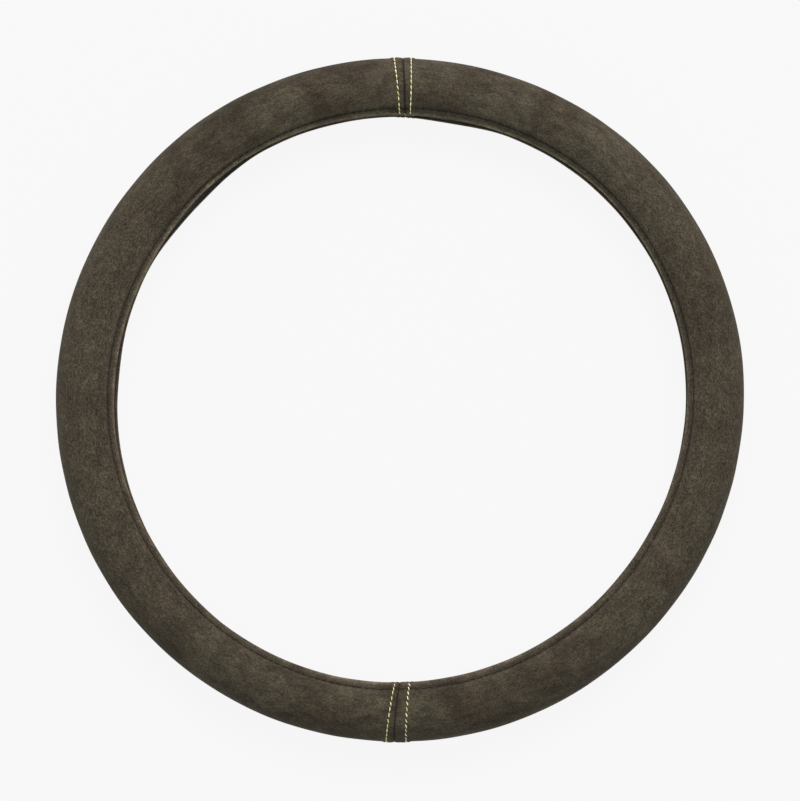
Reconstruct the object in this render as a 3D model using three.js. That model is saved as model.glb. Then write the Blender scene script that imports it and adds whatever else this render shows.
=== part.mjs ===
// A steering wheel cover: a moulded rubber ring of C section, open towards its centre, dressed in two
// suede panels. The panels meet in a sewn seam at the top and one at the bottom, each topstitched
// on both sides, and a stitch line round each lip holds the suede to the rubber.
// Millimetres. The cover lies on its back: its axis is +Z, the driver's side is up and the top seam
// is at +Y. The origin is the ring's centre, on the surface that the cover lies on.
import * as THREE from "three";

const { clamp, degToRad, euclideanModulo, lerp, radToDeg } = THREE.MathUtils;

// The tube of the ring, measured outside the suede.
const OUTER_DIAMETER = 385;
const SECTION_WIDTH = 34.7; // along a radius of the ring, as if the mouth were closed
const SECTION_DEPTH = 34; // along the axis
const MOUTH = 14.6; // between the two lips, where the wheel's rim goes in
const REST_FLAT = 6; // width that the soft tube flattens where it lies on its back

// How the relaxed ring departs from a true circle. A wave has a number of crests round the ring, each
// standing out by its size, and one of them at its angle.
const RING_WAVES = [
  { crests: 2, size: 0.8, angle: 20.5 },
  { crests: 3, size: 0.32, angle: 18.5 },
  { crests: 4, size: 0.25, angle: 34 },
];
const LIP_WAVES = [
  { crests: 1, size: 0.55, angle: 47 },
  { crests: 2, size: 0.38, angle: 70 },
  { crests: 3, size: 0.27, angle: 2.5 },
];
const LIP_WAVES_START = 60; // degrees of section from which the lips' waves grow towards their edges
// A lip sags inwards at places round the ring, or stands back from its edge where the size is below 0.
const FRONT_LIP_SAGS = [
  { angle: 5, reach: 40, size: -1.1 },
  { angle: 48, reach: 34, size: -1.4 },
  { angle: 122, reach: 16, size: -0.7 },
  { angle: 147, reach: 20, size: 0.75 },
  { angle: 186, reach: 42, size: -1 },
];
const BACK_LIP_SAGS = [
  { angle: 137, reach: 19, size: 2.45 },
  { angle: 80, reach: 12, size: 1.5 },
  { angle: 175, reach: 12, size: 0.5 },
];

// The layers of the wall.
const SUEDE_THICKNESS = 1.5; // microfibre suede with its thin foam backing
const RUBBER_THICKNESS = 2;
const LAYER_GAP = 0.3;
const GRIP_RIBS = 5;
const GRIP_RIB_HEIGHT = 0.6;
const GRIP_RIB_WIDTH = 2.4;
const GRIP_RIB_PITCH = 9; // from rib to rib, along the inner wall

// The two cross seams: angles round the ring at the outside and at the lips, how far the seam's line bows
// between them, and from the line to the topstitched row on its clockwise and its anticlockwise side.
const TOP_SEAM = {
  outerAngle: 89.45,
  innerAngle: 88.79,
  bow: -0.165,
  clockwise: { outer: 4.8, inner: 2.9 },
  anticlockwise: { outer: 4.8, inner: 2.9 },
};
const BOTTOM_SEAM = {
  outerAngle: 269.12,
  innerAngle: 270.12,
  bow: -0.15,
  clockwise: { outer: 4.4, inner: 2.6 },
  anticlockwise: { outer: 6.8, inner: 5.5 },
};
const SEAM_RAISE = 0.45; // of the suede over the seam allowances turned under it
const SEAM_EDGE_RAISE = 0.15; // at the lips' edges, where the allowances are trimmed thin
const SEAM_VALLEY_DEPTH = 0.9; // below plain suede, where the two folds meet
const FOLD_WIDTH = 0.8; // from the seam's line to the top of a fold
const ALLOWANCE_REACH = 3; // of the allowance, past the topstitched row

// Threads, and the grooves that they pull into the suede.
const TOPSTITCH_RADIUS = 0.33;
const TOPSTITCH_PITCH = 3.25;
const HOLE_RADIUS = 0.16; // of the thread where it dives into the suede
const LIP_THREAD_RADIUS = 0.22;
const LIP_STITCH_INSET = 6.4; // from the lip's edge to its stitch line
const FRONT_STITCH_DRIFTS = [
  { angle: 30, reach: 40, size: 0.6 },
  { angle: 128, reach: 58, size: 2.5 },
  { angle: 213, reach: 54, size: 1.5 },
]; // where the front stitch line drifts nearer to the lip's edge
const JOINING_THREAD_RADIUS = 0.2;
const THREAD_CLEARANCE = 0.09;
const TOPSTITCH_GROOVE_HALF = 0.9; // half of the groove's width
const LIP_GROOVE_HALF = 1.5;
const LIP_GROOVE_DEPTH = 0.85;
const EDGE_MARGIN = 0.8; // of suede past the last topstitch

// How finely the tube is divided.
const PLAIN_STEPS = 24; // along a panel, between its seam allowances
const ARC_STEPS = 13; // round the section, from the flat at the back to the front lip's groove
const REST_RAMP = 18; // degrees of section over which a pressed seam rises beside the flat

const HALF_WIDTH = SECTION_WIDTH / 2;
const HALF_DEPTH = SECTION_DEPTH / 2;
const CENTRE_RADIUS = OUTER_DIAMETER / 2 - HALF_WIDTH;
const MEAN_HALF = (HALF_WIDTH + HALF_DEPTH) / 2;
const REST_HALF_ANGLE = radToDeg(Math.asin(REST_FLAT / 2 / HALF_WIDTH));
const REST_LEVEL = -HALF_DEPTH * Math.cos(degToRad(REST_HALF_ANGLE));
const EDGE_TILT = 180 - radToDeg(Math.asin(MOUTH / 2 / HALF_DEPTH));
const STITCH_TILT = EDGE_TILT - tiltOf(LIP_STITCH_INSET);
const RUBBER_FACE = -SUEDE_THICKNESS - LAYER_GAP;
const CHANNEL_FACE = RUBBER_FACE - RUBBER_THICKNESS;

// A length along the section's outline as degrees round the section.
function tiltOf(length) {
  return radToDeg(length / MEAN_HALF);
}

// A length round the ring as degrees, at a place on the section.
function turnOf(length, tilt) {
  return radToDeg(length / (CENTRE_RADIUS + HALF_WIDTH * Math.cos(degToRad(tilt))));
}

// How far slow waves stand out at an angle round the ring.
function waveHeight(waves, turn) {
  return waves.reduce((sum, w) => sum + w.size * Math.cos(w.crests * degToRad(turn - w.angle)), 0);
}

// The height of soft bumps at an angle round the ring. Each has its angle, its reach and its size.
function bumpHeight(bumps, turn) {
  return bumps.reduce((sum, { angle, reach, size }) => {
    const away = euclideanModulo(turn - angle + 180, 360) - 180;
    return Math.abs(away) < reach ? sum + (size * (1 + Math.cos((Math.PI * away) / reach))) / 2 : sum;
  }, 0);
}

// How far a lip sags towards the ring's centre.
function lipSag(turn, tilt) {
  const rampEnd = 90 + REST_HALF_ANGLE + REST_RAMP;
  const share = clamp((Math.abs(tilt) - rampEnd) / (EDGE_TILT - rampEnd), 0, 1);
  return share * bumpHeight(tilt > 0 ? FRONT_LIP_SAGS : BACK_LIP_SAGS, turn);
}

// How far the front stitch line and the wall beside it drift towards the lip's edge, in degrees.
function stitchDrift(turn, tilt) {
  const fromGroove = Math.max(Math.abs(tilt - STITCH_TILT) - tiltOf(LIP_GROOVE_HALF), 0);
  const room = (tilt > STITCH_TILT ? EDGE_TILT - STITCH_TILT : STITCH_TILT - 90) - tiltOf(LIP_GROOVE_HALF);
  return clamp(1 - fromGroove / room, 0, 1) * tiltOf(bumpHeight(FRONT_STITCH_DRIFTS, turn));
}

// A point of the wall. turn is the angle round the ring. tilt is the angle round the section: 0 at the
// outside, 90 at the front, -90 at the back and 180 in the mouth. lift is above plain suede.
function onTube(turn, tilt, lift) {
  const place = tilt + stitchDrift(turn, tilt);
  const cos = Math.cos(degToRad(place));
  const sin = Math.sin(degToRad(place));
  const normal = new THREE.Vector2(cos / HALF_WIDTH, sin / HALF_DEPTH).normalize();
  const lipShare = clamp((Math.abs(place) - LIP_WAVES_START) / (EDGE_TILT - LIP_WAVES_START), 0, 1);
  const waves = waveHeight(RING_WAVES, turn) + lipShare * waveHeight(LIP_WAVES, turn);
  const shift = waves - lipSag(turn, place);
  const radius = CENTRE_RADIUS + HALF_WIDTH * cos + normal.x * lift + shift;
  const height = Math.max(HALF_DEPTH * sin, REST_LEVEL) + normal.y * lift - REST_LEVEL;
  return new THREE.Vector3(
    radius * Math.cos(degToRad(turn)),
    radius * Math.sin(degToRad(turn)),
    height,
  );
}

// Evenly spaced values, with both ends.
function spaced(from, to, steps) {
  return Array.from({ length: steps + 1 }, (_, i) => lerp(from, to, i / steps));
}

// A solid swept through rings of points, each anticlockwise when the sweep comes towards the viewer. An
// open sweep is closed at both ends by strips between the two halves of its end rings, so a ring has an
// even number of points.
function sweptSolid(rings, closed) {
  const count = rings[0].length;
  const positions = rings.flat().flatMap((p) => [p.x, p.y, p.z]);
  const indices = [];
  const face = (a, b, c, d) => indices.push(a, b, c, a, c, d);
  const spans = closed ? rings.length : rings.length - 1;
  for (let r = 0; r < spans; r++) {
    const here = r * count;
    const next = ((r + 1) % rings.length) * count;
    for (let i = 0; i < count; i++) {
      const j = (i + 1) % count;
      face(here + i, here + j, next + j, next + i);
    }
  }
  if (!closed) {
    const last = (rings.length - 1) * count;
    for (let i = 0; i < count / 2 - 1; i++) {
      const across = count - 1 - i;
      face(i, across, across - 1, i + 1);
      face(last + i, last + i + 1, last + across - 1, last + across);
    }
  }
  const geometry = new THREE.BufferGeometry();
  geometry.setAttribute("position", new THREE.Float32BufferAttribute(positions, 3));
  geometry.setIndex(indices);
  geometry.computeVertexNormals();
  return geometry;
}

// How far round the section a place is from the outside towards the lip, from 0 to 1.
function inwardShare(tilt) {
  return (1 - Math.cos(degToRad(tilt))) / (1 - Math.cos(degToRad(EDGE_TILT)));
}

function seamTurn(seam, tilt) {
  const share = inwardShare(tilt);
  return lerp(seam.outerAngle, seam.innerAngle, share) + 4 * seam.bow * share * (1 - share);
}

// From the seam's line to the topstitched row on one side of it, way being 1 on the anticlockwise side.
function rowAway(seam, way, tilt) {
  const row = way > 0 ? seam.anticlockwise : seam.clockwise;
  return lerp(row.outer, row.inner, inwardShare(tilt));
}

// The raise of the suede over the allowances, which the cover's weight presses flat at its back.
function seamRaise(tilt) {
  const besideFlat = Math.abs(tilt + 90) - REST_HALF_ANGLE;
  const onBand = clamp((Math.abs(tilt) - STITCH_TILT) / (EDGE_TILT - STITCH_TILT), 0, 1);
  return lerp(SEAM_RAISE, SEAM_EDGE_RAISE, onBand) * clamp(besideFlat / REST_RAMP, 0, 1);
}

// Depth of the V groove that takes a thread whole, flush with the suede and clear of both sides.
function flushGrooveDepth(radius, halfWidth) {
  const rise = (radius + THREAD_CLEARANCE) / halfWidth;
  const level = 1 - rise ** 2;
  return (radius + rise * Math.sqrt(radius ** 2 + halfWidth ** 2 * level)) / level;
}

// Depth at which a thread's axis lies in a V groove, so that it clears both sides.
function grooveSeat(radius, halfWidth, depth) {
  return depth - ((radius + THREAD_CLEARANCE) * Math.hypot(halfWidth, depth)) / halfWidth;
}

const TOPSTITCH_GROOVE_DEPTH = flushGrooveDepth(TOPSTITCH_RADIUS, TOPSTITCH_GROOVE_HALF);
const LIP_SEAT = grooveSeat(LIP_THREAD_RADIUS, LIP_GROOVE_HALF, LIP_GROOVE_DEPTH);

// The suede on one side of a seam, from its folded end out to where it lies plain.
function seamColumns(seam, way, tilt) {
  const row = rowAway(seam, way, tilt);
  const raise = seamRaise(tilt);
  return [
    { away: LAYER_GAP / 2, raise: 0, cut: SEAM_VALLEY_DEPTH },
    { away: FOLD_WIDTH, raise, cut: 0 },
    { away: row - TOPSTITCH_GROOVE_HALF, raise, cut: 0 },
    { away: row, raise, cut: TOPSTITCH_GROOVE_DEPTH },
    { away: row + TOPSTITCH_GROOVE_HALF, raise, cut: 0 },
    { away: row + ALLOWANCE_REACH, raise: 0, cut: 0 },
  ];
}

const SEAM_COLUMNS = seamColumns(TOP_SEAM, 1, 0).length;

// A panel runs from one seam, anticlockwise, to the next.
const RIGHT_PANEL = { from: BOTTOM_SEAM, fromOffset: -360, to: TOP_SEAM };
const LEFT_PANEL = { from: TOP_SEAM, fromOffset: 0, to: BOTTOM_SEAM };

// All the columns of a panel at a place on the section, each with its turn, raise and cut.
function panelColumns(panel, tilt) {
  const start = seamTurn(panel.from, tilt) + panel.fromOffset;
  const end = seamTurn(panel.to, tilt);
  const first = seamColumns(panel.from, 1, tilt).map((c) => ({ ...c, turn: start + turnOf(c.away, tilt) }));
  const last = seamColumns(panel.to, -1, tilt).map((c) => ({ ...c, turn: end - turnOf(c.away, tilt) }));
  const plain = spaced(first.at(-1).turn, last.at(-1).turn, PLAIN_STEPS).slice(1, -1);
  return [...first, ...plain.map((turn) => ({ turn, raise: 0, cut: 0 })), ...last.reverse()];
}

// Places round the section that the suede and the rubber share, from the back lip to the front lip.
const GROOVE_START = STITCH_TILT - tiltOf(LIP_GROOVE_HALF);
const GROOVE_END = STITCH_TILT + tiltOf(LIP_GROOVE_HALF);
const SHARED_TILTS = [
  -EDGE_TILT,
  -GROOVE_START,
  -90 - REST_HALF_ANGLE - REST_RAMP,
  -90 - REST_HALF_ANGLE,
  -90 + REST_HALF_ANGLE,
  ...spaced(-90 + REST_HALF_ANGLE + REST_RAMP, GROOVE_START, ARC_STEPS),
  EDGE_TILT,
].sort((a, b) => a - b);
const GROOVE_TILTS = [-GROOVE_END, -STITCH_TILT, STITCH_TILT, GROOVE_END];
const SUEDE_TILTS = [...SHARED_TILTS, ...GROOVE_TILTS].sort((a, b) => a - b);

function suedePanel(panel) {
  const rings = SUEDE_TILTS.map((tilt) => {
    const lipCut = Math.abs(tilt) === STITCH_TILT ? LIP_GROOVE_DEPTH : 0;
    const columns = panelColumns(panel, tilt);
    const face = columns.map((c) => onTube(c.turn, tilt, c.raise - Math.max(c.cut, lipCut)));
    const lining = columns.map((c) => onTube(c.turn, tilt, -SUEDE_THICKNESS));
    return [...face, ...lining.reverse()];
  });
  return sweptSolid(rings, false);
}

// The inner wall of the rubber from the back lip to the front lip, with its grip ribs.
function channelPlaces() {
  const innerHalf = MEAN_HALF + CHANNEL_FACE;
  const ribFoot = radToDeg(GRIP_RIB_WIDTH / 2 / innerHalf);
  const ribPitch = radToDeg(GRIP_RIB_PITCH / innerHalf);
  const places = [{ tilt: -EDGE_TILT, lift: CHANNEL_FACE }, { tilt: -GROOVE_START, lift: CHANNEL_FACE }];
  for (let rib = 0; rib < GRIP_RIBS; rib++) {
    const tilt = (rib - (GRIP_RIBS - 1) / 2) * ribPitch;
    places.push({ tilt: tilt - ribFoot, lift: CHANNEL_FACE });
    places.push({ tilt, lift: CHANNEL_FACE - GRIP_RIB_HEIGHT });
    places.push({ tilt: tilt + ribFoot, lift: CHANNEL_FACE });
  }
  places.push({ tilt: GROOVE_START, lift: CHANNEL_FACE }, { tilt: EDGE_TILT, lift: CHANNEL_FACE });
  return places;
}

function rubberRing() {
  const nose = { tilt: EDGE_TILT + tiltOf(RUBBER_THICKNESS / 2), lift: RUBBER_FACE - RUBBER_THICKNESS / 2 };
  const outline = [
    ...SHARED_TILTS.map((tilt) => ({ tilt, lift: RUBBER_FACE })).reverse(),
    { tilt: -nose.tilt, lift: nose.lift },
    ...channelPlaces(),
    nose,
  ];
  const lines = outline.map((p) => {
    const turns = [RIGHT_PANEL, LEFT_PANEL].flatMap((panel) => [
      ...panelColumns(panel, p.tilt).slice(SEAM_COLUMNS - 1, 1 - SEAM_COLUMNS).map((c) => c.turn),
      seamTurn(panel.to, p.tilt),
    ]);
    return turns.map((turn) => onTube(turn, p.tilt, p.lift));
  });
  return sweptSolid(lines[0].map((_, i) => lines.map((line) => line[i])), true);
}

// Four points round a thread's axis. The thread runs along the section, or else round the ring.
function threadRing(turn, tilt, lift, radius, alongSection) {
  const turnAside = alongSection ? turnOf(radius, tilt) : 0;
  const tiltAside = alongSection ? 0 : -tiltOf(radius);
  const beside = (way) => onTube(turn + way * turnAside, tilt + way * tiltAside, lift);
  return [onTube(turn, tilt, lift + radius), beside(1), onTube(turn, tilt, lift - radius), beside(-1)];
}

// One topstitched row, beside a seam on the side given by way. Each stitch lies on the suede and dives
// at both ends, and one stitch passes over each lip's stitch line.
function topstitch(seam, way) {
  const stitches = Math.round((2 * STITCH_TILT) / tiltOf(TOPSTITCH_PITCH));
  const halfStitch = STITCH_TILT / stitches;
  const past = Math.floor((EDGE_TILT - STITCH_TILT - tiltOf(EDGE_MARGIN)) / halfStitch);
  const crossingLift = LIP_THREAD_RADIUS + TOPSTITCH_RADIUS + 2 * THREAD_CLEARANCE - LIP_SEAT;
  const rings = [];
  for (let i = -past; i <= 2 * stitches + past; i++) {
    const tilt = -STITCH_TILT + i * halfStitch;
    const turn = seamTurn(seam, tilt) + way * turnOf(rowAway(seam, way, tilt), tilt);
    const radius = i % 2 === 0 ? TOPSTITCH_RADIUS : HOLE_RADIUS;
    const seated = -grooveSeat(radius, TOPSTITCH_GROOVE_HALF, TOPSTITCH_GROOVE_DEPTH);
    const lift = i === 0 || i === 2 * stitches ? crossingLift : seated;
    rings.push(threadRing(turn, tilt, seamRaise(tilt) + lift, radius, true));
  }
  return sweptSolid(rings, false);
}

// The stitch line that holds the suede to one lip, as one round of thread in its groove.
function lipStitching(tilt) {
  const columns = [RIGHT_PANEL, LEFT_PANEL].flatMap((panel) => panelColumns(panel, tilt).slice(1, -1));
  const rings = columns.map((c) => threadRing(c.turn, tilt, c.raise - LIP_SEAT, LIP_THREAD_RADIUS, false));
  return sweptSolid(rings, true);
}

// The thread that joins the two panels, down in the valley between their folds.
function joiningThread(seam) {
  const valley = SEAM_VALLEY_DEPTH - JOINING_THREAD_RADIUS - 2 * THREAD_CLEARANCE;
  const tilts = SUEDE_TILTS.filter((tilt) => Math.abs(tilt) < STITCH_TILT);
  return sweptSolid(
    tilts.map((tilt) => threadRing(seamTurn(seam, tilt), tilt, -valley, JOINING_THREAD_RADIUS, true)),
    false,
  );
}

const suede = new THREE.MeshStandardMaterial({ color: 0x4c4338, roughness: 0.96, metalness: 0 });
const rubber = new THREE.MeshStandardMaterial({ color: 0x1c1b19, roughness: 0.75, metalness: 0 });
const yellowThread = new THREE.MeshStandardMaterial({ color: 0xd9c548, roughness: 0.6, metalness: 0 });
const darkThread = new THREE.MeshStandardMaterial({ color: 0x231d18, roughness: 0.8, metalness: 0 });

const cover = new THREE.Group();

function add(name, geometry, material) {
  const mesh = new THREE.Mesh(geometry, material);
  mesh.name = name;
  cover.add(mesh);
}

add("rubber_ring", rubberRing(), rubber);
add("right_suede_panel", suedePanel(RIGHT_PANEL), suede);
add("left_suede_panel", suedePanel(LEFT_PANEL), suede);
add("front_lip_stitching", lipStitching(STITCH_TILT), darkThread);
add("back_lip_stitching", lipStitching(-STITCH_TILT), darkThread);
for (const [place, seam, clockwiseSide, otherSide] of [
  ["top", TOP_SEAM, "right", "left"],
  ["bottom", BOTTOM_SEAM, "left", "right"],
]) {
  add(`${place}_joining_thread`, joiningThread(seam), darkThread);
  add(`${place}_${clockwiseSide}_topstitch`, topstitch(seam, -1), yellowThread);
  add(`${place}_${otherSide}_topstitch`, topstitch(seam, 1), yellowThread);
}

export default cover;
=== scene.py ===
import math

import bpy
import numpy as np
from mathutils import Matrix, Vector


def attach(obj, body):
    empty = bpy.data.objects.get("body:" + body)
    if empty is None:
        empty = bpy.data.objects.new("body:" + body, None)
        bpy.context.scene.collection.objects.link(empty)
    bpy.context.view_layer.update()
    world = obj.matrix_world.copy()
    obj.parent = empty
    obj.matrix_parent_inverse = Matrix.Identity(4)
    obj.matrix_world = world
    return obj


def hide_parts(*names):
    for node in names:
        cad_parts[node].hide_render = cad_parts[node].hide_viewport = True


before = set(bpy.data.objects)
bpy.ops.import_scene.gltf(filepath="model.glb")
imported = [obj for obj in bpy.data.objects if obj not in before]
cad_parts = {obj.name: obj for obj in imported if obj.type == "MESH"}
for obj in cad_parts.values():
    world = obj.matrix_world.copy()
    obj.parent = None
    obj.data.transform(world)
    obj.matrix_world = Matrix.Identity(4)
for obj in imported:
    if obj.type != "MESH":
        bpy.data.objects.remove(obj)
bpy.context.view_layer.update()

# The steering wheel cover lies on its back, with the driver's side up and the top seam at +Y. Angles
# are in degrees and the sizes of the pieces in millimetres, and points become metres in tube_point.
# turn runs round the ring. tilt runs round its section: 0 outside, 90 front, -90 back, 180 mouth.


# The rubber ring: one moulded ring of black rubber with a C section, open towards the ring's centre.
# Five low ribs inside it grip the wheel's rim, and its lips are rounded. The relaxed ring is a little
# out of round, its soft lips waver, and in places they sag inwards or stand back.
OUTER_DIAMETER = 385
SECTION_WIDTH = 34.7
SECTION_DEPTH = 34
MOUTH = 14.6
REST_FLAT = 6
RING_WAVES = [(2, 0.8, 20.5), (3, 0.32, 18.5), (4, 0.25, 34)]  # crests round the ring, size, one's angle
LIP_WAVES = [(1, 0.55, 47), (2, 0.38, 70), (3, 0.27, 2.5)]
LIP_WAVES_START = 60
# For each sag: its angle, its reach to either side, and how far inwards
FRONT_LIP_SAGS = [(5, 40, -1.1), (48, 34, -1.4), (122, 16, -0.35), (147, 20, 0.75), (186, 42, -1)]
BACK_LIP_SAGS = [(55, 24, -0.45), (80, 12, 1.5), (137, 19, 2.1), (175, 12, 0.5)]
SUEDE_THICKNESS = 1.5
RUBBER_THICKNESS = 2
LAYER_GAP = 0.3
GRIP_RIBS = 5
GRIP_RIB_HEIGHT = 0.6
GRIP_RIB_WIDTH = 2.4
GRIP_RIB_PITCH = 9
REST_RAMP = 18
LIP_STITCH_INSET = 6.4
LIP_GROOVE_HALF = 1.5
FRONT_STITCH_DRIFTS = [(30, 40, 0.6), (128, 58, 2.5), (213, 54, 1.5)]  # as the sags
RING_STEPS = 300
FACE_STEPS = 96
CHANNEL_STEPS = 180
NOSE_STEPS = 10

HALF_WIDTH = SECTION_WIDTH / 2
HALF_DEPTH = SECTION_DEPTH / 2
CENTRE_RADIUS = OUTER_DIAMETER / 2 - HALF_WIDTH
MEAN_HALF = (HALF_WIDTH + HALF_DEPTH) / 2
REST_HALF_ANGLE = math.degrees(math.asin(REST_FLAT / 2 / HALF_WIDTH))
REST_LEVEL = -HALF_DEPTH * math.cos(math.radians(REST_HALF_ANGLE))
EDGE_TILT = 180 - math.degrees(math.asin(MOUTH / 2 / HALF_DEPTH))
RUBBER_FACE = -SUEDE_THICKNESS - LAYER_GAP
CHANNEL_FACE = RUBBER_FACE - RUBBER_THICKNESS


def tilt_of(length):
    """A length along the section's outline as degrees round the section."""
    return math.degrees(length / MEAN_HALF)


STITCH_TILT = EDGE_TILT - tilt_of(LIP_STITCH_INSET)


def turn_of(length, tilt):
    """A length round the ring as degrees, at a place on the section."""
    return np.degrees(length / (CENTRE_RADIUS + HALF_WIDTH * np.cos(np.radians(tilt))))


def wave_height(waves, turn):
    """How far slow waves stand out at an angle round the ring."""
    return sum(size * np.cos(crests * np.radians(turn - angle)) for crests, size, angle in waves)


def lip_share(tilt):
    """How much of the lips' waves reaches a place on the section, from 0 to 1."""
    return np.clip((np.abs(tilt) - LIP_WAVES_START) / (EDGE_TILT - LIP_WAVES_START), 0, 1)


def bump_height(bumps, turn):
    """The height of soft bumps at an angle round the ring."""
    total = np.zeros(np.shape(turn))
    for angle, reach, size in bumps:
        away = (turn - angle + 180) % 360 - 180
        total = total + np.where(np.abs(away) < reach, size * (1 + np.cos(np.pi * away / reach)) / 2, 0)
    return total


def sag_share(tilt):
    """How much of a lip's sag reaches a place on the section, from 0 to 1."""
    ramp_end = 90 + REST_HALF_ANGLE + REST_RAMP
    return np.clip((np.abs(tilt) - ramp_end) / (EDGE_TILT - ramp_end), 0, 1)


def stitch_drift(turn, tilt):
    """How far the front stitch line and the wall beside it drift towards the lip's edge, in degrees."""
    from_groove = np.maximum(np.abs(tilt - STITCH_TILT) - tilt_of(LIP_GROOVE_HALF), 0)
    room = np.where(tilt > STITCH_TILT, EDGE_TILT - STITCH_TILT, STITCH_TILT - 90) - tilt_of(LIP_GROOVE_HALF)
    return np.clip(1 - from_groove / room, 0, 1) * tilt_of(1) * bump_height(FRONT_STITCH_DRIFTS, turn)


def section_point(tilt, lift):
    """A place on the section: its distance from the tube's middle outwards, and its height."""
    cos, sin = np.cos(np.radians(tilt)), np.sin(np.radians(tilt))
    normal_x, normal_y = cos / HALF_WIDTH, sin / HALF_DEPTH
    length = np.hypot(normal_x, normal_y)
    across = HALF_WIDTH * cos + normal_x / length * lift
    resting = HALF_DEPTH * sin - REST_LEVEL
    soft_corner = 0.05
    height = (resting + np.sqrt(resting**2 + soft_corner**2)) / 2 + normal_y / length * lift
    return across, height


def tube_point(turn, tilt, lift):
    """A point of the wall in metres, lift being above plain suede."""
    turn, tilt, lift = np.broadcast_arrays(turn, tilt, lift)
    tilt = tilt + stitch_drift(turn, tilt)
    across, height = section_point(tilt, lift)
    sag = np.where(tilt > 0, bump_height(FRONT_LIP_SAGS, turn), bump_height(BACK_LIP_SAGS, turn))
    waves = wave_height(RING_WAVES, turn) + lip_share(tilt) * wave_height(LIP_WAVES, turn)
    radius = CENTRE_RADIUS + across + waves - sag_share(tilt) * sag
    angle = np.radians(turn)
    return np.stack([radius * np.cos(angle), radius * np.sin(angle), height], axis=-1) / 1000


def new_object(name, mesh):
    piece = bpy.data.objects.new(name, mesh)
    bpy.context.scene.collection.objects.link(piece)
    return piece


def new_tree(name, sockets, kind="GeometryNodeTree"):
    """A node tree with its named inputs and outputs, and its two end nodes."""
    tree = bpy.data.node_groups.new(name, kind)
    for label, way, socket, value in sockets:
        item = tree.interface.new_socket(label, in_out=way, socket_type="NodeSocket" + socket)
        if value is not None:
            item.default_value = value
    start = tree.nodes.new("NodeGroupInput")
    end = tree.nodes.new("NodeGroupOutput")
    return tree, start.outputs, end.inputs


def feed(tree, socket, value):
    """Links a socket to another one, or sets it to a plain value."""
    if isinstance(value, bpy.types.NodeSocket):
        tree.links.new(value, socket)
    else:
        socket.default_value = value


def node(tree, kind, out=0, settings=None, **values):
    """A node whose inputs are fed by name, an underscore standing for a space. Returns one output."""
    made = tree.nodes.new(kind)
    for key, value in (settings or {}).items():
        setattr(made, key, value)
    for key, value in values.items():
        feed(tree, made.inputs[key.replace("_", " ")], value)
    return made.outputs[out]


def maths(tree, operation, *values):
    made = tree.nodes.new("ShaderNodeMath")
    made.operation = operation
    for socket, value in zip(made.inputs, values):
        feed(tree, socket, value)
    return made.outputs[0]


def run_tree(piece, tree, values):
    """Runs a geometry tree on a piece and keeps its result as the piece's plain mesh."""
    modifier = piece.modifiers.new(tree.name, "NODES")
    modifier.node_group = tree
    for item in tree.interface.items_tree:
        if item.in_out == "INPUT" and item.name in values:
            modifier[item.identifier] = values[item.name]
    evaluated = piece.evaluated_get(bpy.context.evaluated_depsgraph_get())
    mesh = bpy.data.meshes.new_from_object(evaluated)
    piece.modifiers.remove(modifier)
    mesh.name = piece.name
    piece.data = mesh


def principled(name, **values):
    """A material with one Principled shader, and its tree, shader and object coordinates."""
    material = bpy.data.materials.new(name)
    material.use_nodes = True
    tree = material.node_tree
    shader = tree.nodes["Principled BSDF"]
    for key, value in values.items():
        shader.inputs[key.replace("_", " ")].default_value = value
    coordinates = tree.nodes.new("ShaderNodeTexCoord").outputs["Object"]
    return material, tree, shader.inputs, coordinates


def noise(tree, vector, scale, detail=2.0, roughness=0.5, distortion=0.0):
    return node(
        tree, "ShaderNodeTexNoise", Vector=vector, Scale=scale, Detail=detail,
        Roughness=roughness, Distortion=distortion,
    )


def levels(tree, value, low, high, to_low=0.0, to_high=1.0):
    """A value stretched between two levels, with soft ends."""
    made = tree.nodes.new("ShaderNodeMapRange")
    made.interpolation_type = "SMOOTHSTEP"
    given = {"Value": value, "From Min": low, "From Max": high, "To Min": to_low, "To Max": to_high}
    for key, number in given.items():
        feed(tree, made.inputs[key], number)
    return made.outputs["Result"]


def mix_colour(tree, share, first, second, blend="MIX"):
    made = tree.nodes.new("ShaderNodeMix")
    made.data_type = "RGBA"
    made.blend_type = blend
    feed(tree, made.inputs["Factor"], share)
    for socket, value in ((made.inputs[6], first), (made.inputs[7], second)):
        feed(tree, socket, value if isinstance(value, bpy.types.NodeSocket) else (*value, 1))
    return made.outputs[2]


def bump(tree, height, distance, strength=1.0):
    return node(tree, "ShaderNodeBump", Height=height, Distance=distance, Strength=strength)


grain_group, grain_in, grain_out = new_tree(
    "fine_grain",
    [
        ("Vector", "INPUT", "Vector", None),
        ("Scale", "INPUT", "Float", 600.0),
        ("Roughness", "INPUT", "Float", 0.6),
        ("Height", "OUTPUT", "Float", None),
        ("Pores", "OUTPUT", "Float", None),
    ],
    "ShaderNodeTree",
)
grain_height = noise(
    grain_group, grain_in["Vector"], grain_in["Scale"], detail=5.0, roughness=grain_in["Roughness"]
)
grain_group.links.new(grain_height, grain_out["Height"])
grain_group.links.new(levels(grain_group, grain_height, low=0.36, high=0.62), grain_out["Pores"])


def add_group(tree, group, kind, **values):
    """A group placed in a tree, its inputs fed by name. Returns its outputs."""
    made = tree.nodes.new(kind)
    made.node_tree = group
    for key, value in values.items():
        feed(tree, made.inputs[key], value)
    return made.outputs


def fine_grain(tree, vector, scale, out="Height"):
    return add_group(tree, grain_group, "ShaderNodeGroup", Vector=vector, Scale=scale)[out]


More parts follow.
